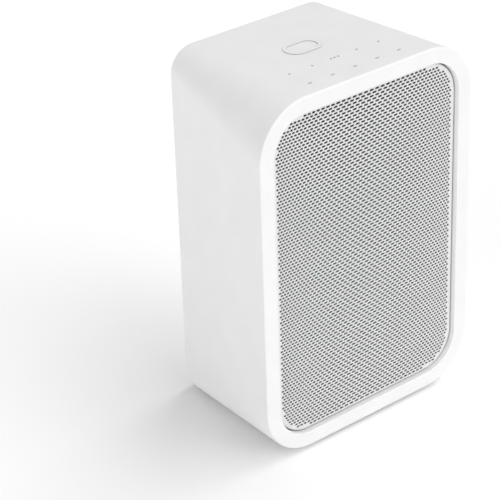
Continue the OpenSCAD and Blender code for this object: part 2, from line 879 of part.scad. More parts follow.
module network_jack() {
  color("black") difference() {
    block(network_x, socket_back_y, strip_z, network_w, socket_depth, network_h);
    block(network_x, cover_out_y - network_open_d, strip_z - 0.8,
          network_open_w, 20, network_open_h);
  }
}

module usb_jack() {
  color("silver") difference() {
    block(usb_x, socket_back_y, strip_z, usb_w, socket_depth, usb_h);
    upright(cover_out_y - 7, 10, strip_z) translate([usb_x, 0])
      rounded_2d(usb_open_w, usb_open_h, usb_open_h/2 - eps);
  }
}

module audio_jack() {
  color("black") translate([audio_x, 0, 0]) facing_back(socket_back_y, strip_z) difference() {
    cylinder(r = audio_r, h = socket_depth);
    translate([0, 0, 2]) cylinder(r = audio_hole_r, h = socket_depth);
  }
}

// ---------- Electronics ----------

module board_frame() {
  color("lightslategray") difference() {
    union() {
      for (x = [-1, 1]) block(x*(rail_in_x + rail_t/2), rail_front_y, board_z,
                              rail_t, cover_in_y - rail_front_y, rail_h);
      for (z = [-1, 1]) block(0, rail_front_y, board_z + z*(rail_h - bridge_h)/2,
                              2*rail_in_x + rail_t, 2, bridge_h);
    }
    for (y = [main_board_y, amp_board_y]) block(0, y, board_z, board_w, board_t, rail_h + 1);
  }
}

module main_board() {
  color("darkgreen") {
    block(0, main_board_y, board_z, board_w, board_t, board_h);
    block(-12, main_board_y + board_t, board_z + 8, 30, 3, 24);
    block(20, main_board_y + board_t, board_z + 12, 12, 1.5, 12);
    block(18, main_board_y + board_t, board_z - 12, 16, 4, 8);
  }
}

module amplifier_board() {
  color("darkgreen") {
    block(0, amp_board_y, board_z, board_w, board_t, board_h);
    for (x = [-24, -10, 10, 24]) translate([x, 0, 0])
      facing_back(amp_board_y + board_t, board_z - 14) cylinder(r = 5, h = 6);
    for (x = [-28, 28]) translate([x, 0, 0])
      facing_back(amp_board_y + board_t, board_z + 12) cylinder(r = 4, h = 7);
  }
}

module heatsink() {
  color("silver") {
    block(0, amp_board_y - heatsink_base, board_z, heatsink_w, heatsink_base, heatsink_h);
    for (k = [0 : fin_count - 1])
      block(-heatsink_w/2 + 0.6 + k*(heatsink_w - 1.2)/(fin_count - 1),
            amp_board_y - heatsink_d, board_z, 1.2, heatsink_d - heatsink_base, heatsink_h);
  }
}

module antennas() {
  color("darkgreen") for (x = [-26, 26])
    block(x, main_board_y, board_z + board_h/2 + 5, 22, 1, 10);
}

module pack_socket() {
  color("black") difference() {
    block(contact_x, bay_front_y - socket_d, contact_z, socket_w, socket_d, socket_h);
    for (k = [-1 : 1]) block(contact_x + k*contact_pitch, bay_front_y - contact_reach - 1,
      contact_z, contact_w + 2*moving_gap, 20, contact_h + 2*moving_gap);
  }
}

module pack_nut() {
  color("goldenrod") facing_front(bay_in_y, pack_screw_z)
    ring(nut_r, pack_screw_r + 0.3, pack_wall, nut_len);
}

module power_leads() {
  lead_foot_z = contact_z + socket_h/2;
  color("firebrick") for (k = [-1, 1])
    translate([contact_x + 4 + 1.4*k, main_board_y + board_t/2, lead_foot_z])
      cylinder(r = lead_r, h = board_z - board_h/2 - lead_foot_z, $fn = 24);
}

// ---------- Power pack ----------

module inlet_outline(grow) {
  translate([inlet_x, 0]) square([inlet_w + grow, inlet_h + grow], center = true);
}

module pack_case() {
  grip_z = pack_top_z - pack_wall - 1 - grip_h/2;
  case_front_y = pack_in_y + pack_wall;
  color("whitesmoke") difference() {
    union() {
      difference() {
        block(0, case_front_y, pack_mid_z, pack_w, pack_d - pack_wall, pack_h);
        block(0, case_front_y - 1, pack_mid_z, pack_w - 2*pack_wall,
              pack_d - 2*pack_wall + 1, pack_h - 2*pack_wall);
      }
      block(0, cover_out_y - grip_d - pack_wall, grip_z, grip_w + 2*pack_wall,
            grip_d + pack_wall, grip_h + 2*pack_wall);
      facing_back(case_front_y, pack_screw_z)
        cylinder(r = pack_boss_r, h = pack_d - pack_wall);
      facing_back(cover_out_y - pack_screw_head_h - pack_wall, pack_screw_z)
        cylinder(r = pack_screw_head_r + moving_gap + pack_wall, h = pack_screw_head_h + pack_wall);
    }
    block(0, cover_out_y - grip_d, grip_z, grip_w, grip_d + 1, grip_h);
    facing_back(case_front_y - 1, pack_screw_z)
      cylinder(r = pack_screw_r + moving_gap, h = pack_d + 2);
    facing_back(cover_out_y - pack_screw_head_h, pack_screw_z)
      cylinder(r = pack_screw_head_r + moving_gap, h = pack_screw_head_h + 1);
    upright(cover_out_y - inlet_d, inlet_d + 1, inlet_z) inlet_outline(fit_gap);
  }
}

module pack_lid() {
  color("gainsboro") difference() {
    block(0, pack_in_y, pack_mid_z, pack_w, pack_wall, pack_h);
    facing_back(pack_in_y - 1, pack_screw_z)
      cylinder(r = pack_screw_r + moving_gap, h = pack_wall + 2);
    block(contact_x, pack_in_y - 1, contact_z, socket_w - 2, pack_wall + 2, socket_h - 2);
  }
}

module pack_board() {
  board_foot_z = pack_screw_z + pack_boss_r + 1;
  board_top_z = pack_top_z - pack_wall - 1;
  color("darkgreen") {
    block(0, pack_board_y, (board_foot_z + board_top_z)/2, pack_w - 2*pack_wall - 2*fit_gap, board_t,
          board_top_z - board_foot_z);
    for (x = [-30, -8]) translate([x, 0, 0])
      facing_back(pack_board_y + board_t, pack_mid_z + 4) cylinder(r = 5, h = 10);
  }
}

module pack_transformer() {
  color("darkgoldenrod") block(20, pack_board_y + board_t, pack_mid_z - 1, 26, 12, 18);
}

module pack_contacts() {
  color("gold") for (k = [-1 : 1])
    block(contact_x + k*contact_pitch, bay_front_y - contact_reach, contact_z, contact_w,
          pack_board_y - bay_front_y + contact_reach, contact_h);
}

module mains_inlet() {
  r = inlet_face_h/2;
  color("black") upright(cover_out_y - inlet_d, inlet_d, inlet_z) inlet_shape(r);
}

module inlet_shape(r) {
  difference() {
    inlet_outline(0);
    translate([inlet_x, 0]) rounded_2d(inlet_face_w, inlet_face_h, r - eps);
  }
}

module inlet_pins() {
  color("silver") translate([inlet_x, 0, 0]) {
    for (x = [-1, 1]) translate([x*pin_pitch/2, 0, 0])
      facing_back(cover_out_y - inlet_d, inlet_z) cylinder(r = pin_r, h = inlet_d - 2);
    upright(cover_out_y - inlet_d, inlet_d - inlet_hole_d, inlet_z)
      rounded_2d(inlet_face_w - 0.1, inlet_face_h - 0.1, inlet_face_h/2 - 0.1);
  }
}

// Captive screw with a coin slot
module pack_screw() {
  head_y = cover_out_y - pack_screw_head_h + 0.3;
  color("silver") difference() {
    union() {
      facing_back(head_y, pack_screw_z) cylinder(r = pack_screw_head_r, h = pack_screw_head_h - 0.3);
      facing_front(head_y, pack_screw_z)
        cylinder(r = pack_screw_r, h = head_y - bay_in_y + pack_wall + nut_len);
    }
    block(0, cover_out_y - 1.6, pack_screw_z, 8, 5, 1.6);
  }
}

housing();
emblem();
touch_marks();
touch_board();
grille();
grille_cloth();
baffle();
baffle_seal();
baffle_screws();
woofer_frame();
woofer_gasket();
woofer_surround();
woofer_cone();
woofer_dust_cap();
woofer_coil();
woofer_spider();
woofer_top_plate();
woofer_magnet();
woofer_yoke();
tweeter_faceplate();
tweeter_surround();
tweeter_dome();
tweeter_coil();
tweeter_pole_plate();
tweeter_magnet();
tweeter_pot();
driver_screws();
rear_cover();
cover_seal();
cover_screws();
radiator_frame();
radiator_surround();
radiator_plate();
radiator_weight();
radiator_guard();
mount_insert();
socket_board();
network_jack();
usb_jack();
audio_jack();
board_frame();
main_board();
amplifier_board();
heatsink();
antennas();
pack_socket();
pack_nut();
power_leads();
pack_case();
pack_lid();
pack_board();
pack_transformer();
pack_contacts();
mains_inlet();
inlet_pins();
pack_screw();
feet();
damping_pad();
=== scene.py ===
"""Compact moulded network loudspeaker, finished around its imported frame.

Run it as a script. It loads the frame, registers one operator for each visible
piece, and calls them in order. Every length is in metres.
"""

import json
import math

import bmesh
import bpy
from bpy.props import FloatProperty, FloatVectorProperty, IntProperty, PointerProperty
from mathutils import Matrix, Vector

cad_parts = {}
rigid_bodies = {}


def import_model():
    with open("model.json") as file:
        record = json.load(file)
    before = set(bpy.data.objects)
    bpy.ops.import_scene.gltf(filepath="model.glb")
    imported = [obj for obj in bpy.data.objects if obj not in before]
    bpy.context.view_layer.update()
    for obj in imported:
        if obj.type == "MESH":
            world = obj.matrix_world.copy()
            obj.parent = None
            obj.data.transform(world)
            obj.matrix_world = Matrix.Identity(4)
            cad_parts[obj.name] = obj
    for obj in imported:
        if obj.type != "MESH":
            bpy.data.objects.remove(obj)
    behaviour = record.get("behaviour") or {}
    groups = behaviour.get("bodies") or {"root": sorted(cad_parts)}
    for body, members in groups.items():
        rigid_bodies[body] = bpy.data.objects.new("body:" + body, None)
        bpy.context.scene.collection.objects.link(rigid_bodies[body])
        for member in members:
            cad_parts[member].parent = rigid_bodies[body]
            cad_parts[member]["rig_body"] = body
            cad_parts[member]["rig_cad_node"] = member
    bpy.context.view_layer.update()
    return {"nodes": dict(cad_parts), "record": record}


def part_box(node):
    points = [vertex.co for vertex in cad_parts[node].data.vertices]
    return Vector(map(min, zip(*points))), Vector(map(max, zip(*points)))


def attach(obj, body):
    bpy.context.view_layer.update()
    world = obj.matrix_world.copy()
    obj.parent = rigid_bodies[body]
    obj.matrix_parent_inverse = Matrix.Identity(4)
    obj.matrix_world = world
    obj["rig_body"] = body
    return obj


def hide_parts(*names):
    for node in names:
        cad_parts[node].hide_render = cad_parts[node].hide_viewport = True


bl_info = {
    "name": "Network loudspeaker",
    "version": (1, 0, 0),
    "blender": (4, 5, 0),
    "location": "3D View > Sidebar > Loudspeaker",
    "description": "Builds the housing, grille, rear panel and finishes of a loudspeaker",
    "category": "Add Mesh",
}

MM = 0.001
SAME_PLACE = 1e-7
UPRIGHT = (math.pi / 2, 0, 0)
CORNER_STEPS = 20
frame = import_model()


# ---------- Small helpers ----------


def srgb(code):
    """Linear colour of an sRGB hex code such as "f2f2f0"."""
    parts = [int(code[k : k + 2], 16) / 255 for k in (0, 2, 4)]
    return [p / 12.92 if p <= 0.04045 else ((p + 0.055) / 1.055) ** 2.4 for p in parts]


def add_node(tree, kind, settings=None, **links):
    """Adds a node, sets its properties and inputs, and links the sockets given by name."""
    node = tree.nodes.new(kind)
    for name, value in (settings or {}).items():
        if hasattr(node, name):
            setattr(node, name, value)
        else:
            node.inputs[name].default_value = value
    for name, source in links.items():
        tree.links.new(source, node.inputs[name.replace("_", " ")])
    return node


def deselect():
    for one in bpy.context.selected_objects:
        one.select_set(False)


def activate(piece):
    deselect()
    piece.select_set(True)
    bpy.context.view_layer.objects.active = piece


def pick(piece, test, kind="VERT"):
    """In edit mode, selects only the vertices, edges or faces that pass the test."""
    bpy.ops.mesh.select_mode(type=kind)
    bpy.ops.mesh.select_all(action="DESELECT")
    mesh = bmesh.from_edit_mesh(piece.data)
    for element in {"VERT": mesh.verts, "EDGE": mesh.edges, "FACE": mesh.faces}[kind]:
        if test(element):
            element.select_set(True)
    mesh.select_flush_mode()
    bmesh.update_edit_mesh(piece.data)


def start_piece(name):
    """Makes an empty mesh object at the origin and opens it in edit mode."""
    deselect()
    bpy.ops.mesh.primitive_plane_add(size=1)
    piece = bpy.context.object
    piece.name = name
    piece.data.name = name
    bpy.ops.object.mode_set(mode="EDIT")
    bpy.ops.mesh.select_all(action="SELECT")
    bpy.ops.mesh.delete(type="VERT")
    return piece


def add_outline(piece, group, width, height, r_top, r_foot, y, z, steps):
    """Adds an upright rounded outline at depth y and keeps it in a vertex group."""
    bpy.ops.mesh.select_mode(type="VERT")
    bpy.ops.mesh.select_all(action="DESELECT")
    bpy.ops.mesh.primitive_plane_add(size=1, location=(0, y, z), rotation=UPRIGHT)
    bpy.ops.transform.resize(value=(width, 1, height), center_override=(0, y, z))
    bpy.ops.object.vertex_group_add()
    piece.vertex_groups.active.name = group
    bpy.ops.object.vertex_group_assign()
    for side, radius in ((1, r_top), (-1, r_foot)):
        bpy.ops.mesh.select_all(action="DESELECT")
        bpy.ops.object.vertex_group_set_active(group=group)
        bpy.ops.object.vertex_group_select()
        mesh = bmesh.from_edit_mesh(piece.data)
        corners = [
            v
            for v in mesh.verts
            if v.select
            and abs(v.co.z - z - side * height / 2) < SAME_PLACE
            and abs(abs(v.co.x) - width / 2) < SAME_PLACE
        ]
        bpy.ops.mesh.select_all(action="DESELECT")
        for v in corners:
            v.select_set(True)
        mesh.select_flush_mode()
        bmesh.update_edit_mesh(piece.data)
        bpy.ops.mesh.bevel(offset=radius, segments=steps, affect="VERTICES")
        bpy.ops.mesh.select_linked()
        bpy.ops.object.vertex_group_set_active(group=group)
        bpy.ops.object.vertex_group_assign()
    bpy.ops.mesh.delete(type="ONLY_FACE")


def select_group(group):
    """In edit mode, selects the vertices of this group only, with the edges between them."""
    bpy.ops.mesh.select_mode(type="VERT")
    bpy.ops.mesh.select_all(action="DESELECT")
    bpy.ops.object.vertex_group_set_active(group=group)
    bpy.ops.object.vertex_group_select()


def bridge(piece, first, second):
    """Joins two outlines with a strip of faces, corner to corner, so that it can't twist."""
    mesh = bmesh.from_edit_mesh(piece.data)
    layer = mesh.verts.layers.deform.verify()
    loops = []
    for name in (first, second):
        group = piece.vertex_groups[name].index
        points = [v for v in mesh.verts if group in v[layer]]
        middle = sum((v.co for v in points), Vector()) / len(points)
        points.sort(key=lambda v: math.atan2(v.co.z - middle.z, v.co.x - middle.x))
        loops.append(points)
    for (a, b), (c, d) in zip(*(zip(p, p[1:] + p[:1]) for p in loops)):
        mesh.faces.new((a, b, d, c))
    bmesh.update_edit_mesh(piece.data)


def rolled(name, width, height, r_top, r_foot, y, radius, out, deep, steps=4):
    """Outlines of a rounded edge: from the flat rim at y round to the wall beside it.

    out is 1 where the wall is outside the rim and -1 where it is inside;
    deep is the way along Y that leads from the rim into the housing.
    """
    rings = []
    for k in range(steps + 1):
        turn = math.pi / 2 * k / steps
        inset = out * radius * (1 - math.sin(turn))
        place = y + deep * radius * (1 - math.cos(turn))
        rings.append(
            (
                f"{name}_{k}",
                width - 2 * inset,
                height - 2 * inset,
                r_top - inset,
                r_foot - inset,
                place,
            )
        )
    return rings


def face_outwards():
    """In edit mode, points every face of a closed shell out of its solid."""
    bpy.ops.mesh.select_all(action="SELECT")
    bpy.ops.mesh.normals_make_consistent(inside=False)


def apply_modifier(piece, kind, **settings):
    """Adds a modifier with these settings and applies it."""
    activate(piece)
    modifier = piece.modifiers.new(kind.title(), kind)
    for name, value in settings.items():
        setattr(modifier, name, value)
    bpy.ops.object.modifier_apply(modifier=modifier.name)


def finish_piece(piece, body, slot, finish, node):
    """Closes edit mode, shades the piece, gives it its finish and joins it to its body."""
    if bpy.context.mode == "EDIT_MESH":
        bpy.ops.object.mode_set(mode="OBJECT")
    activate(piece)
    piece.vertex_groups.clear()
    bpy.ops.object.shade_smooth_by_angle(angle=math.radians(35))
    apply_modifier(piece, "WEIGHTED_NORMAL", keep_sharp=True, weight=80)
    piece.data.materials.clear()
    piece.data.materials.append(finish)
    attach(piece, body)
    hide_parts(node)
    deselect()


def softened(node, radius):
    """Copies a CAD node's mesh, merges it, and rounds its sharp edges."""
    piece = frame["nodes"][node].copy()
    piece.data = frame["nodes"][node].data.copy()
    piece.name = node + "_finished"
    piece.data.name = piece.name
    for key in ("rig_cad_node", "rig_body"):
        if key in piece:
            del piece[key]
    piece.parent = None
    bpy.context.scene.collection.objects.link(piece)
    activate(piece)
    bpy.ops.object.mode_set(mode="EDIT")
    bpy.ops.mesh.select_all(action="SELECT")
    bpy.ops.mesh.remove_doubles(threshold=0.00001)
    bpy.ops.mesh.dissolve_limited(angle_limit=math.radians(1))
    bpy.ops.object.mode_set(mode="OBJECT")
    apply_modifier(
        piece,
        "BEVEL",
        width=radius,
        segments=2,
        limit_method="ANGLE",
        angle_limit=math.radians(40),
        use_clamp_overlap=True,
    )
    return piece


# ---------- Finishes ----------


def start_material(name, colour):
    """A new material with its tree, its shader and the place on the piece it reads."""
    material = bpy.data.materials.new(name)
    material.use_nodes = True
    material.diffuse_color = (*colour, 1)
    tree = material.node_tree
    place = add_node(tree, "ShaderNodeTexCoord").outputs["Object"]
    return material, tree, tree.nodes["Principled BSDF"], place


def add_tone(tree, source, dark, light):
    """A ramp from one colour to another, driven by a pattern."""
    tone = add_node(tree, "ShaderNodeValToRGB", None, Fac=source)
    tone.color_ramp.elements[0].color = (*dark, 1)
    tone.color_ramp.elements[1].color = (*light, 1)
    return tone


def moulded(name, colour, rough, grain_mm, grain_depth, mottle=0.0, spec=0.5):
    """Injection-moulded plastic: an even colour, a fine spark-eroded grain, faint mottling."""
    material, tree, shader, place = start_material(name, colour)
    grain = add_node(
        tree, "ShaderNodeTexNoise", {"Scale": 1 / (grain_mm * MM), "Detail": 2.0}, Vector=place
    )
    cloud = add_node(
        tree, "ShaderNodeTexNoise", {"Scale": 1 / (14 * MM), "Detail": 3.0}, Vector=place
    )
    tone = add_tone(tree, cloud.outputs["Fac"], [c * (1 - mottle) for c in colour], colour)
    tone.color_ramp.elements[0].position = 0.3
    tone.color_ramp.elements[1].position = 0.7
    wear = add_node(
        tree,
        "ShaderNodeMapRange",
        {"To Min": rough - 0.05, "To Max": rough + 0.05},
        Value=cloud.outputs["Fac"],
    )
    bump = add_node(
        tree,
        "ShaderNodeBump",
        {"Strength": 1.0, "Distance": grain_depth * MM},
        Height=grain.outputs["Fac"],
    )
    tree.links.new(tone.outputs["Color"], shader.inputs["Base Color"])
    tree.links.new(wear.outputs["Result"], shader.inputs["Roughness"])
    tree.links.new(bump.outputs["Normal"], shader.inputs["Normal"])
    shader.inputs["IOR"].default_value = 1.53
    shader.inputs["Specular IOR Level"].default_value = spec
    return material


def metal(name, colour, rough, brush=(1, 1, 1), grain_mm=0.2, depth=0.004):
    """Bare or plated metal: its colour, fine tool marks stretched along one direction."""
    material, tree, shader, place = start_material(name, colour)
    turned = add_node(tree, "ShaderNodeMapping", {"Scale": brush}, Vector=place)
    marks = add_node(
        tree,
        "ShaderNodeTexNoise",
        {"Scale": 1 / (grain_mm * MM), "Detail": 3.0},
        Vector=turned.outputs["Vector"],
    )
    spread = add_node(
        tree,
        "ShaderNodeMapRange",
        {"To Min": rough - 0.08, "To Max": rough + 0.08},
        Value=marks.outputs["Fac"],
    )
    bump = add_node(
        tree,
        "ShaderNodeBump",
        {"Strength": 1.0, "Distance": depth * MM},
        Height=marks.outputs["Fac"],
    )
    tone = add_tone(tree, marks.outputs["Fac"], [c * 0.9 for c in colour], colour)
    tree.links.new(tone.outputs["Color"], shader.inputs["Base Color"])
    tree.links.new(spread.outputs["Result"], shader.inputs["Roughness"])
    tree.links.new(bump.outputs["Normal"], shader.inputs["Normal"])
    shader.inputs["Metallic"].default_value = 1.0
    return material


def woven(name, colour, thread_mm):
    """Cloth: crossed threads at the real spacing, with painted light where they rise and painted
    shade in the gaps between them.
    """
    material, tree, shader, place = start_material(name, colour)
    bands = [
        add_node(
            tree,
            "ShaderNodeTexWave",
            {"wave_type": "BANDS", "bands_direction": way, "Scale": 0.314 / (thread_mm * MM)},
            Vector=place,
        ).outputs["Fac"]
        for way in ("X", "Z")
    ]
    weave = add_node(tree, "ShaderNodeMath", {"operation": "MULTIPLY"})
    tree.links.new(bands[0], weave.inputs[0])
    tree.links.new(bands[1], weave.inputs[1])
    # Painted light and shade: the colour is lighter on the raised threads and darker between them
    tone = add_tone(tree, weave.outputs["Value"], [c * 0.6 for c in colour], colour)
    bump = add_node(
        tree,
        "ShaderNodeBump",
        {"Strength": 1.0, "Distance": 0.08 * MM},
        Height=weave.outputs["Value"],
    )
    tree.links.new(tone.outputs["Color"], shader.inputs["Base Color"])
    tree.links.new(bump.outputs["Normal"], shader.inputs["Normal"])
    shader.inputs["Roughness"].default_value = 0.9
    shader.inputs["Sheen Weight"].default_value = 0.15
    return material


def make_finishes():
    """One material for each real finish, named for it."""
    return {
        # Satin white ABS with a soft-touch coat: even, faintly mottled, no sharp shine.
        "housing_plastic": moulded(
            "Satin white moulded ABS", srgb("e5e5e5"), 0.55, 0.5, 0.01, 0.03
        ),
        # The rear cover is the same plastic with a coarser spark-eroded texture.
        "cover_plastic": moulded(
            "Textured white moulded ABS", srgb("e0e0df"), 0.62, 0.35, 0.04, 0.02
        ),
        # Powder coat on steel: light grey, slight orange peel.
        "grille_steel": moulded(
            "Light grey powder coat", srgb("dcdcdc"), 0.5, 0.6, 0.02, 0.02
        ),
        # Carbon-filled polypropylene, dull black.
        "baffle_plastic": moulded("Black moulded polypropylene", srgb("1f1f20"), 0.6, 0.4, 0.02),
        "bracket_plastic": moulded("Grey moulded polycarbonate", srgb("8a8e92"), 0.5, 0.4, 0.02),
        # Glossier nylon of the sockets.
        "socket_plastic": moulded("Black moulded nylon", srgb("161617"), 0.35, 0.3, 0.01),
        "lead_plastic": moulded("Red PVC insulation", srgb("b01d17"), 0.4, 0.5, 0.01),
        # Closed-cell foam: coarse open surface, no shine.
        "seal_foam": moulded("Black polyethylene foam", srgb("2a2a2b"), 0.95, 0.5, 0.12, 0.3, 0.1),
        "surround_rubber": moulded("Black butyl rubber", srgb("1c1c1d"), 0.7, 0.5, 0.01, 0.1, 0.3),
        "foot_rubber": moulded("Grey silicone rubber", srgb("68686a"), 0.75, 0.5, 0.02, 0.1, 0.3),
        # Pressed paper pulp: fibrous and dull.
        "cone_material": moulded("Pressed paper pulp", srgb("3a3937"), 0.9, 0.8, 0.06, 0.3, 0.2),
        "damping_felt": moulded("White polyester felt", srgb("dcdbd6"), 0.97, 0.7, 0.25, 0.2, 0.1),
        "basket_steel": moulded("Black painted steel", srgb("232324"), 0.4, 0.5, 0.01),
        "ferrite": moulded("Sintered ferrite", srgb("3c3c3f"), 0.6, 0.3, 0.02, 0.2),
        # Solder mask over fibreglass: green and glossy.
        "circuit_board": moulded("Green solder mask", srgb("1d6b3c"), 0.3, 0.8, 0.01, 0.25),
        "plated_steel": metal("Zinc plated steel", srgb("c9c9c6"), 0.32),
        "screw_steel": metal("Nickel plated steel", srgb("cbc9c2"), 0.28, (1, 8, 1)),
        "magnet_nickel": metal("Nickel plated neodymium", srgb("d5d2ca"), 0.2),
        "coil_copper": metal("Enamelled copper wire", srgb("c97f4e"), 0.3, (1, 10, 1), 0.3, 0.02),
        "dome_aluminium": metal("Anodised aluminium dome", srgb("cfd0d2"), 0.3),
        "radiator_aluminium": metal(
            "Dark anodised aluminium", srgb("7d7e80"), 0.42, (1, 1, 12), 0.2, 0.01
        ),
        "heatsink_aluminium": metal("Extruded aluminium", srgb("c6c7c9"), 0.4, (1, 1, 0.05)),
        "insert_brass": metal("Turned brass", srgb("d6b469"), 0.25, (1, 12, 1)),
        "contact_brass": metal("Gold plated brass", srgb("e0bd62"), 0.2),
        # Open polyester weave, dark, behind the perforation.
        "acoustic_cloth": woven("Dark acoustic cloth", srgb("0e0e0f"), 0.5),
        "spider_cloth": woven("Resin treated cotton", srgb("b8894a"), 0.6),
    }


finishes = {}


def node_slots():
    """The record's slot of each CAD node."""
    return {row["node"]: row["material_slot"] for row in frame["record"]["subparts"]}


# ---------- Sizes a user would change ----------


class SpeakerSizes(bpy.types.PropertyGroup):
    rim_width: FloatProperty(
        name="Rim width", description="Flat rim around the grille", default=8 * MM, unit="LENGTH"
    )
    front_radius: FloatProperty(
        name="Front corner radius",
        description="Corner radius of the front outline",
        default=27 * MM,
        unit="LENGTH",
    )
    opening_radius: FloatProperty(
        name="Opening corner radius",
        description="Corner radius of the grille opening",
        default=18.5 * MM,
        unit="LENGTH",
    )
    back_width: FloatProperty(
        name="Back width",
        description="Width of the back edge, where the sides have drawn in",
        default=98 * MM,
        unit="LENGTH",
    )
    back_top_radius: FloatProperty(
        name="Upper back radius",
        description="Upper corner radius of the back outline",
        default=13 * MM,
        unit="LENGTH",
    )
    back_foot_radius: FloatProperty(
        name="Lower back radius",
        description="Lower corner radius of the back outline",
        default=5 * MM,
        unit="LENGTH",
    )
    soft_edge: FloatProperty(
        name="Front edge softness",
        description="Roundness between the sides and the rim",
        default=1 * MM,
        unit="LENGTH",
    )
    back_edge: FloatProperty(
        name="Back edge softness",
        description="Roundness of the back edge",
        default=2 * MM,
        unit="LENGTH",
    )
    wall: FloatProperty(
        name="Wall", description="Thickness of the moulded walls", default=3 * MM, unit="LENGTH"
    )
    row_step: FloatProperty(
        name="Row spacing",
        description="Height from one row of holes to the next",
        default=1.55 * MM,
        unit="LENGTH",
    )
    pitch_middle: FloatProperty(
        name="Hole pitch",
        description="Spacing of the holes in a row, at the middle of the grille",
        default=3.47 * MM,
        unit="LENGTH",
    )
    pitch_side: FloatProperty(
        name="Hole pitch at the sides",
        description="Spacing of the holes in a row, at the sides of the grille",
        default=1.75 * MM,
        unit="LENGTH",
    )
    hole_share: FloatProperty(
        name="Hole width share",
        description="Width of a hole as a share of the pitch",
        default=0.8,
        subtype="FACTOR",
    )
    hole_height: FloatProperty(
        name="Hole height", description="Height of a hole", default=1.1 * MM, unit="LENGTH"
    )
    plain_margin: FloatProperty(
        name="Plain margin",
        description="Width of the plain border around the holes",
        default=1.35 * MM,
        unit="LENGTH",
    )
    hole_sides: IntProperty(name="Hole sides", description="Sides of each hole", default=8, min=6)


class SpeakerColours(bpy.types.PropertyGroup):
    floor: FloatVectorProperty(
        name="Floor",
        description="Colour of the floor",
        default=srgb("fdfdfd"),
        size=3,
        subtype="COLOR",
    )


class SPEAKER_OT_finishes(bpy.types.Operator):
    """Gives every CAD part the finish of its material"""

    bl_idname = "speaker.finishes"
    bl_label = "Finishes"

    def execute(self, context):
        finishes.update(make_finishes())
        slots = node_slots()
        for name, node in frame["nodes"].items():
            node.data.materials.clear()
            node.data.materials.append(finishes[slots[name]])
        return {"FINISHED"}


class SPEAKER_OT_housing(bpy.types.Operator):
    """Lofts the one-piece housing from its front outline to its back outline"""

    bl_idname = "speaker.housing"
    bl_label = "Housing"

    def execute(self, context):
        size = context.scene.speaker_sizes
        low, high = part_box("housing")
        width, height, depth = high.x - low.x, high.z - low.z, high.y - low.y
        middle = (low.z + high.z) / 2
        front, back = low.y, high.y
        wall, rim = size.wall, size.rim_width
        open_w, open_h, open_r = width - 2 * rim, height - 2 * rim, size.opening_radius
        ledge, ledge_t, rear_ledge = 7 * MM, 3 * MM, 5 * MM
        ledge_w, ledge_h, ledge_r = open_w - 2 * ledge, open_h - 2 * ledge, open_r - ledge
        ledge_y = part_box("baffle_seal")[1].y
        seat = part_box("radiator_guard")[1].y - 3 * MM
        cover_w, cover_h = size.back_width - 2 * wall, height - 2 * wall
        rear_w, rear_h = cover_w - 2 * rear_ledge, cover_h - 2 * rear_ledge
        share = (seat - ledge_t - front) / depth
        inner_back = width + (size.back_width - width) * share - 2 * wall
        share = (ledge_y + ledge_t - front) / depth
        inner_front = width + (size.back_width - width) * share - 2 * wall
        inner_r = size.front_radius - wall - 4 * MM
        top_r, foot_r = size.back_top_radius, size.back_foot_radius
        cover_top_r, cover_foot_r = top_r - wall, foot_r - wall
        front_r, sharp_r = size.front_radius, 1 * MM
        recess_edge, mouth_edge = 0.3 * MM, 0.4 * MM

        # The outlines in order, out over the front, back along the outside and in again
        back_rings = rolled(
            "back", size.back_width, height, top_r, foot_r, back, size.back_edge, 1, -1
        )
        mouth_rings = rolled(
            "mouth", open_w, open_h, open_r, open_r, front, mouth_edge, -1, 1, 3
        )
        rings = [
            *rolled("front", width, height, front_r, front_r, front, size.soft_edge, 1, 1),
            *back_rings[::-1],
            *rolled(
                "recess", cover_w, cover_h, cover_top_r, cover_foot_r, back, recess_edge, -1, -1, 2
            ),
            ("seat", cover_w, cover_h, cover_top_r, cover_foot_r, seat),
            ("rear_out", rear_w, rear_h, sharp_r, sharp_r, seat),
            ("rear_in", rear_w, rear_h, sharp_r, sharp_r, seat - ledge_t),
            ("inner_back", inner_back, cover_h, top_r, foot_r, seat - ledge_t),
            ("inner_front", inner_front, cover_h, inner_r, inner_r, ledge_y + ledge_t),
            ("ledge_in", ledge_w, ledge_h, ledge_r, ledge_r, ledge_y + ledge_t),
            ("ledge_out", ledge_w, ledge_h, ledge_r, ledge_r, ledge_y),
            ("well", open_w, open_h, open_r, open_r, ledge_y),
            *mouth_rings[::-1],
        ]
        piece = start_piece("moulded_housing")
        for name, w, h, r_top, r_foot, y in rings:
            add_outline(piece, name, w, h, r_top, r_foot, y, middle, CORNER_STEPS)
        names = [ring[0] for ring in rings]
        for first, second in zip(names, names[1:] + names[:1]):
            bridge(piece, first, second)
        face_outwards()
        # Shorter faces along the sides keep the shading even
        pick(piece, lambda e: abs(e.verts[0].co.y - e.verts[1].co.y) > 0.7 * depth, "EDGE")
        bpy.ops.mesh.subdivide(number_cuts=11)
        finish_piece(piece, "cabinet", "housing_plastic", finishes["housing_plastic"], "housing")
        return {"FINISHED"}


def squeezed(half, middle, side):
    """Returns the function that places a column, with a spacing shrinking towards the side."""
    growth = (middle / side - 1) / half**2

    def place(s):
        x = s
        for _ in range(8):
            x -= (x + growth * x**3 / 3 - s) / (1 + growth * x * x)
        return x

    return place


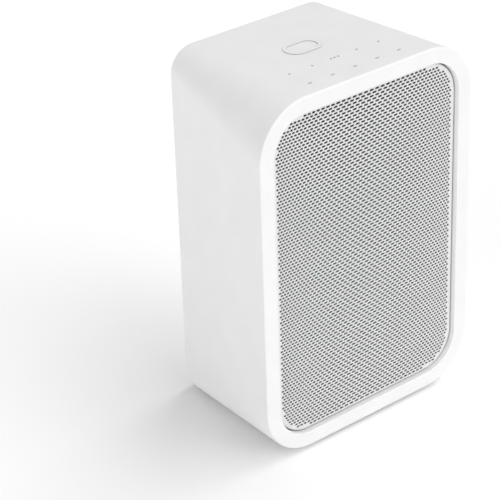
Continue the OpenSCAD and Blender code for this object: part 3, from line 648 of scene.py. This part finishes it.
def make_hole_cell(piece, size):
    """One cell of the sheet: an oblong hole in a border of six points."""
    pitch, row = size.pitch_middle, size.row_step
    bpy.ops.mesh.primitive_plane_add(size=1, rotation=UPRIGHT)
    bpy.ops.transform.resize(value=(pitch, 1, row), center_override=(0, 0, 0))
    pick(piece, lambda e: abs(e.verts[0].co.z - e.verts[1].co.z) < 1e-6, "EDGE")
    bpy.ops.mesh.subdivide(number_cuts=1)
    bpy.ops.mesh.select_all(action="SELECT")
    bpy.ops.mesh.delete(type="ONLY_FACE")
    pick(piece, lambda e: max(abs(v.co.x) for v in e.verts) < 1e-6, "EDGE")
    bpy.ops.mesh.delete(type="EDGE")
    bpy.ops.mesh.select_all(action="DESELECT")
    half_side = math.pi / size.hole_sides
    bpy.ops.mesh.primitive_circle_add(
        vertices=size.hole_sides,
        radius=0.5 / math.cos(half_side),
        rotation=(math.pi / 2, half_side, 0),
    )
    bpy.ops.transform.resize(
        value=(size.hole_share * pitch, 1, size.hole_height), center_override=(0, 0, 0)
    )
    # Straight along the long sides, round only at the ends
    straight = size.hole_share * pitch / 2 - 0.3 * size.hole_height
    mesh = bmesh.from_edit_mesh(piece.data)
    for v in mesh.verts:
        if v.select and abs(v.co.z) > 0.45 * size.hole_height:
            v.co.x = math.copysign(straight, v.co.x)
    bmesh.update_edit_mesh(piece.data)
    bpy.ops.object.vertex_group_add()
    piece.vertex_groups.active.name = "hole"
    bpy.ops.object.vertex_group_assign()
    bpy.ops.mesh.select_all(action="SELECT")
    bpy.ops.mesh.fill(use_beauty=True)


def repeat(piece, count, step):
    """Repeats the piece by a constant step."""
    bpy.ops.object.mode_set(mode="OBJECT")
    apply_modifier(
        piece,
        "ARRAY",
        count=count,
        use_relative_offset=False,
        use_constant_offset=True,
        constant_offset_displace=step,
    )
    bpy.ops.object.mode_set(mode="EDIT")
    bpy.ops.mesh.select_all(action="SELECT")


class SPEAKER_OT_grille(bpy.types.Operator):
    """Perforates the steel front and folds its edge back"""

    bl_idname = "speaker.grille"
    bl_label = "Grille"

    def execute(self, context):
        size = context.scene.speaker_sizes
        low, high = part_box("grille")
        front, middle = low.y, (low.z + high.z) / 2
        width, height = high.x - low.x, high.z - low.z
        radius = size.opening_radius - 0.6 * MM
        row, pitch, sheet = size.row_step, size.pitch_middle, 0.5 * MM
        place = squeezed(width / 2, pitch, size.pitch_side)
        columns = 2 * int(0.8 * width / pitch)
        rows = 2 * int(height / row / 4) + 2

        piece = start_piece("perforated_grille")
        make_hole_cell(piece, size)
        repeat(piece, columns, (pitch, 0, 0))
        bpy.ops.mesh.duplicate_move(TRANSFORM_OT_translate={"value": (pitch / 2, 0, row)})
        repeat(piece, rows, (0, 0, 2 * row))
        bpy.ops.transform.translate(value=(-columns / 2 * pitch, 0, -rows * row))
        bpy.ops.mesh.remove_doubles(threshold=0.00005)

        half_w = width / 2 - size.plain_margin
        half_h = height / 2 - size.plain_margin
        corner = radius - size.plain_margin

        def outside(face):
            """Tells whether a face's hole would reach into the plain border."""
            mid = face.calc_center_median()
            line = round(mid.z / row)
            shift = 0.5 * (line % 2)
            column = round(mid.x / pitch - shift) + shift
            x = place(abs(column) * pitch) + 0.7 * place(size.hole_share * pitch / 2)
            z = abs(line * row) + 0.35 * size.hole_height
            over = Vector((max(x - half_w + corner, 0), max(z - half_h + corner, 0)))
            return over.length > corner

        pick(piece, outside, "FACE")
        bpy.ops.mesh.delete(type="FACE")
        mesh = bmesh.from_edit_mesh(piece.data)
        for v in mesh.verts:
            v.co = Vector((place(v.co.x), front, v.co.z + middle))
        bmesh.update_edit_mesh(piece.data)

        # The edge folds back over a small radius
        fold, fold_steps, back = 0.7 * MM, 3, high.y
        for k in range(fold_steps + 1):
            turn = math.pi / 2 / fold_steps * k
            inset = fold * (1 - math.sin(turn))
            add_outline(
                piece,
                f"fold_{k}",
                width - 2 * inset,
                height - 2 * inset,
                radius - inset,
                radius - inset,
                front + fold * (1 - math.cos(turn)),
                middle,
                16,
            )
        add_outline(piece, "hem", width, height, radius, radius, back, middle, 16)
        for k in range(fold_steps):
            bridge(piece, f"fold_{k}", f"fold_{k + 1}")
        bridge(piece, f"fold_{fold_steps}", "hem")

        # The plain border between the holes and the fold
        holes = piece.vertex_groups["hole"].index
        layer = bmesh.from_edit_mesh(piece.data).verts.layers.deform.verify()
        pick(
            piece,
            lambda e: e.is_boundary
            and all(
                abs(v.co.y - front) < SAME_PLACE and holes not in v[layer] for v in e.verts
            ),
            "EDGE",
        )
        bpy.ops.mesh.fill(use_beauty=True)
        face_outwards()
        mesh = bmesh.from_edit_mesh(piece.data)
        mesh.faces.ensure_lookup_table()
        if sum(f.normal.y * f.calc_area() for f in mesh.faces if abs(f.normal.y) > 0.9) > 0:
            bpy.ops.mesh.flip_normals()
        bpy.ops.object.mode_set(mode="OBJECT")
        apply_modifier(piece, "SOLIDIFY", thickness=sheet, offset=-1)
        finish_piece(piece, "cabinet", "grille_steel", finishes["grille_steel"], "grille")
        return {"FINISHED"}


class SPEAKER_OT_cloth(bpy.types.Operator):
    """Stretches the dark cloth behind the perforation"""

    bl_idname = "speaker.cloth"
    bl_label = "Acoustic cloth"

    def execute(self, context):
        size = context.scene.speaker_sizes
        low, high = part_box("grille_cloth")
        width, height = high.x - low.x, high.z - low.z
        radius = size.opening_radius - 1.4 * MM
        middle = (low.z + high.z) / 2
        piece = start_piece("acoustic_cloth")
        for name, y in (("face", low.y), ("lining", high.y)):
            add_outline(piece, name, width, height, radius, radius, y, middle, 12)
        bridge(piece, "face", "lining")
        for name in ("face", "lining"):
            select_group(name)
            bpy.ops.mesh.edge_face_add()
        face_outwards()
        finish_piece(
            piece, "cabinet", "acoustic_cloth", finishes["acoustic_cloth"], "grille_cloth"
        )
        return {"FINISHED"}


class SPEAKER_OT_top_marks(bpy.types.Operator):
    """Softens the raised emblem and the touch marks on the top, and paints grey shade on them"""

    bl_idname = "speaker.top_marks"
    bl_label = "Top marks"

    def execute(self, context):
        # Two greys stand in for shade: the pale grey is painted shade over the whole touch marks,
        # and the darker grey is painted shade on the emblem's sloped contour; both set the marks
        # off from the white
        painted_mark_shade = moulded("Pale grey painted shade", srgb("b6b6b5"), 0.6, 0.5, 0.005, 0.05)
        dark = moulded("Grey painted shade", srgb("8a8a89"), 0.6, 0.5, 0.005, 0.05)
        white = finishes["housing_plastic"]
        for node, top, painted_flank_shade in (("emblem", white, dark), ("touch_marks", painted_mark_shade, painted_mark_shade)):
            piece = softened(node, 0.12 * MM)
            finish_piece(piece, "cabinet", "housing_plastic", top, node)
            piece.data.materials.append(painted_flank_shade)
            # Faces that slope off the flat top take the painted shade; the flat top keeps its own
            # finish
            for face in piece.data.polygons:
                face.material_index = 1 if face.normal.z < 0.9 else 0
        return {"FINISHED"}


class SPEAKER_OT_feet(bpy.types.Operator):
    """Moulds the four feet as soft pads"""

    bl_idname = "speaker.feet"
    bl_label = "Feet"

    def execute(self, context):
        piece = softened("feet", 0.35 * MM)
        finish_piece(piece, "cabinet", "foot_rubber", finishes["foot_rubber"], "feet")
        return {"FINISHED"}


class SPEAKER_OT_rear(bpy.types.Operator):
    """Rounds the moulded edges of the rear cover, its guard, sockets and screws"""

    bl_idname = "speaker.rear"
    bl_label = "Rear panel"

    def execute(self, context):
        slots = node_slots()
        edges = (
            ("rear_cover", 0.25, "cabinet"),
            ("radiator_guard", 0.3, "cabinet"),
            ("cover_screws", 0.2, "cabinet"),
            ("network_jack", 0.15, "cabinet"),
            ("usb_jack", 0.1, "cabinet"),
            ("audio_jack", 0.2, "cabinet"),
            ("mount_insert", 0.2, "cabinet"),
            ("pack_case", 0.25, "power_pack"),
            ("mains_inlet", 0.2, "power_pack"),
            ("inlet_pins", 0.15, "power_pack"),
            ("pack_screw", 0.25, "pack_screw"),
        )
        for node, radius, body in edges:
            piece = softened(node, radius * MM)
            finish_piece(piece, body, slots[node], finishes[slots[node]], node)
        return {"FINISHED"}


class SPEAKER_OT_damping(bpy.types.Operator):
    """Puffs up the felt pad at the foot of the cabinet"""

    bl_idname = "speaker.damping"
    bl_label = "Damping pad"

    def execute(self, context):
        low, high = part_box("damping_pad")
        piece = start_piece("damping_felt")
        middle = (low + high) / 2
        bpy.ops.mesh.primitive_cube_add(size=1, location=middle)
        bpy.ops.transform.resize(value=high - low, center_override=middle)
        bpy.ops.mesh.bevel(offset=2.5 * MM, segments=3, affect="EDGES")
        bpy.ops.object.mode_set(mode="OBJECT")
        apply_modifier(piece, "SUBSURF", levels=2, render_levels=2)
        finish_piece(piece, "cabinet", "damping_felt", finishes["damping_felt"], "damping_pad")
        return {"FINISHED"}


class SPEAKER_OT_stage(bpy.types.Operator):
    """Sets the floor, the soft studio light and the camera"""

    bl_idname = "speaker.stage"
    bl_label = "Stage"

    def execute(self, context):
        scene = context.scene
        deselect()
        bpy.ops.mesh.primitive_plane_add(size=12, location=(0, 0, 0))
        floor = context.object
        floor.name = "studio_floor"
        # Matt painted board: almost white, no shine
        paint = moulded("Matt white board", tuple(scene.speaker_colours.floor), 0.9, 2, 0.01)
        floor.data.materials.append(paint)

        world = bpy.data.worlds.new("Studio")
        world.use_nodes = True
        sky = world.node_tree.nodes["Background"]
        sky.inputs["Color"].default_value = (1, 1, 1, 1)
        sky.inputs["Strength"].default_value = 0.44
        scene.world = world
        scene.view_settings.view_transform = "Standard"

        # A broad key from the upper right, a high and a low one in front, a low one on the left
        for name, energy, spread, way in (
            ("key_light", 1.2, 50, (0.8, 0.0, 1.1)),
            ("high_light", 0.86, 50, (0.3, -0.9, 0.9)),
            ("front_light", 0.62, 40, (0.35, -0.9, 0.2)),
            ("left_light", 1.62, 50, (-0.92, -0.3, 0.1)),
        ):
            deselect()
            bpy.ops.object.light_add(type="SUN", location=way)
            light = context.object
            light.name = name
            light.data.energy = energy
            light.data.angle = math.radians(spread)
            light.rotation_euler = Vector(way).to_track_quat("Z", "Y").to_euler()

        # The camera: direction, roll and distance from the middle of the housing, and the
        # small shift along its own axes that places the speaker in the frame
        low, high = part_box("housing")
        middle = (low + high) / 2
        turn, rise, roll = (math.radians(a) for a in (-39.07, 28.388, -1.971))
        away = Vector(
            (
                math.sin(turn) * math.cos(rise),
                -math.cos(turn) * math.cos(rise),
                math.sin(rise),
            )
        )
        right = (-away).cross(Vector((0, 0, 1))).normalized()
        up = right.cross(-away)
        distance, shift_right, shift_up = 0.981637, -0.029765, -0.012925
        place = middle + away * distance + right * shift_right + up * shift_up
        side = right * math.cos(roll) + up * math.sin(roll)
        head = up * math.cos(roll) - right * math.sin(roll)
        deselect()
        bpy.ops.object.camera_add()
        camera = context.object
        camera.name = "studio_camera"
        pose = Matrix((side, head, away)).transposed().to_4x4()
        pose.translation = place
        camera.matrix_world = pose
        camera.data.sensor_width = 36
        camera.data.lens = 146.557
        camera.data.clip_end = 50
        scene.camera = camera
        return {"FINISHED"}


class SPEAKER_PT_panel(bpy.types.Panel):
    """Lists the steps that build the loudspeaker"""

    bl_idname = "SPEAKER_PT_panel"
    bl_label = "Loudspeaker"
    bl_space_type = "VIEW_3D"
    bl_region_type = "UI"
    bl_category = "Loudspeaker"

    def draw(self, context):
        column = self.layout.column()
        for group in (context.scene.speaker_sizes, context.scene.speaker_colours):
            for name in group.__annotations__:
                column.prop(group, name)
        for operator in OPERATORS:
            column.operator(operator.bl_idname)


OPERATORS = (
    SPEAKER_OT_finishes,
    SPEAKER_OT_housing,
    SPEAKER_OT_grille,
    SPEAKER_OT_cloth,
    SPEAKER_OT_top_marks,
    SPEAKER_OT_feet,
    SPEAKER_OT_rear,
    SPEAKER_OT_damping,
    SPEAKER_OT_stage,
)
CLASSES = (SpeakerSizes, SpeakerColours, *OPERATORS, SPEAKER_PT_panel)


def register():
    for one in CLASSES:
        bpy.utils.register_class(one)
    bpy.types.Scene.speaker_sizes = PointerProperty(type=SpeakerSizes)
    bpy.types.Scene.speaker_colours = PointerProperty(type=SpeakerColours)


def unregister():
    del bpy.types.Scene.speaker_colours
    del bpy.types.Scene.speaker_sizes
    for one in reversed(CLASSES):
        bpy.utils.unregister_class(one)


def main():
    register()
    bpy.ops.speaker.finishes()
    bpy.ops.speaker.housing()
    bpy.ops.speaker.grille()
    bpy.ops.speaker.cloth()
    bpy.ops.speaker.top_marks()
    bpy.ops.speaker.feet()
    bpy.ops.speaker.rear()
    bpy.ops.speaker.damping()
    bpy.ops.speaker.stage()


if __name__ == "__main__":
    main()
